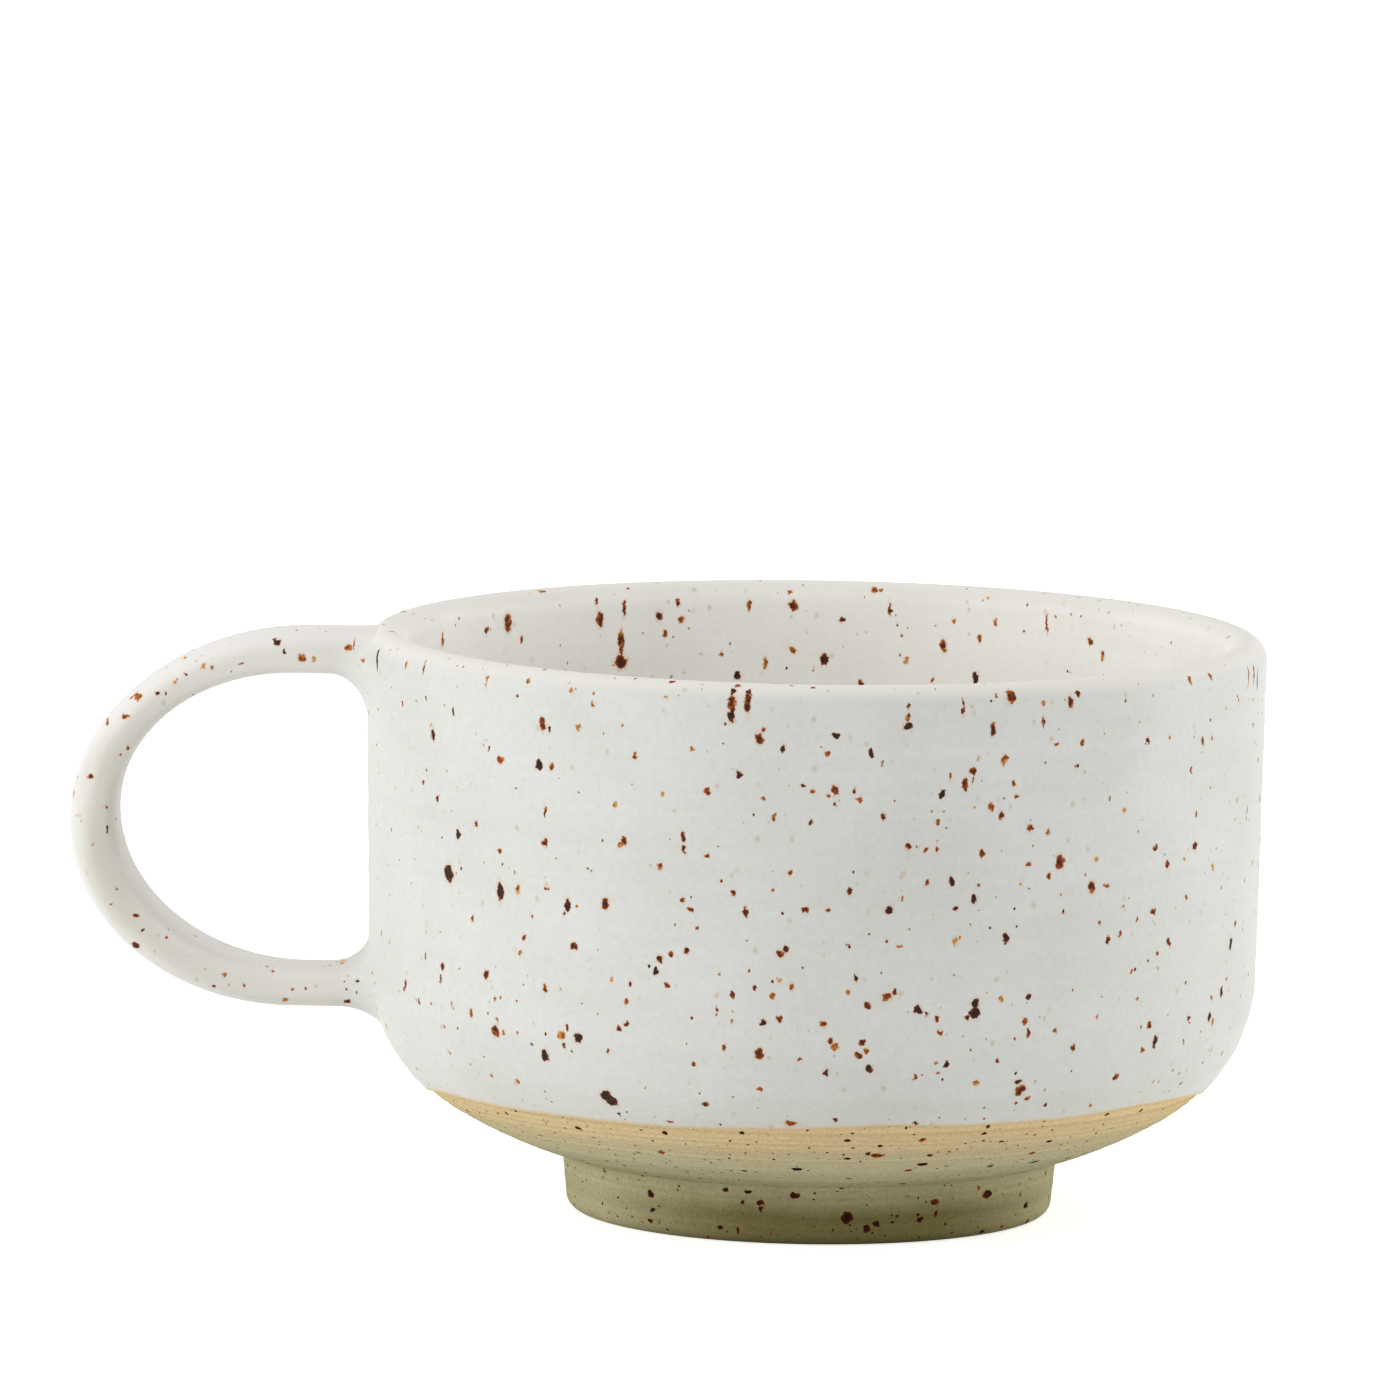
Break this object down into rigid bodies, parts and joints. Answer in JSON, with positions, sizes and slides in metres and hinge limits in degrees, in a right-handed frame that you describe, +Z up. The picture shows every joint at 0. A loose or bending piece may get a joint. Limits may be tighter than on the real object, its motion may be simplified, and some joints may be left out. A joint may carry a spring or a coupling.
{
  "type": "cappuccino cup",
  "caption": "Wide handmade stoneware cup with a rounded base, turned foot ring, looped side handle and matte speckled white glaze.",
  "frame": {"origin": "middle of the foot ring, on the table", "axes": "+Z up through the middle of the cup, -X towards the handle, +Y away from the picture's viewpoint"},
  "size_m": [0.133, 0.1, 0.0647],
  "materials": {
    "bare_stoneware": "bare fired stoneware, matte and slightly gritty",
    "speckled_glaze": "matte white glaze with iron specks",
    "liner_glaze": "matte white glaze with iron specks",
    "handle_glaze": "matte white glaze, thin over the edges, with iron specks"
  },
  "bodies": {
    "root": {"bowl": "bare_stoneware", "foot_ring": "bare_stoneware", "handle": "bare_stoneware", "upper_handle_joint": "bare_stoneware", "lower_handle_joint": "bare_stoneware", "outer_glaze": "speckled_glaze", "liner_glaze": "liner_glaze", "handle_glaze": "handle_glaze"}
  },
  "joints": []
}
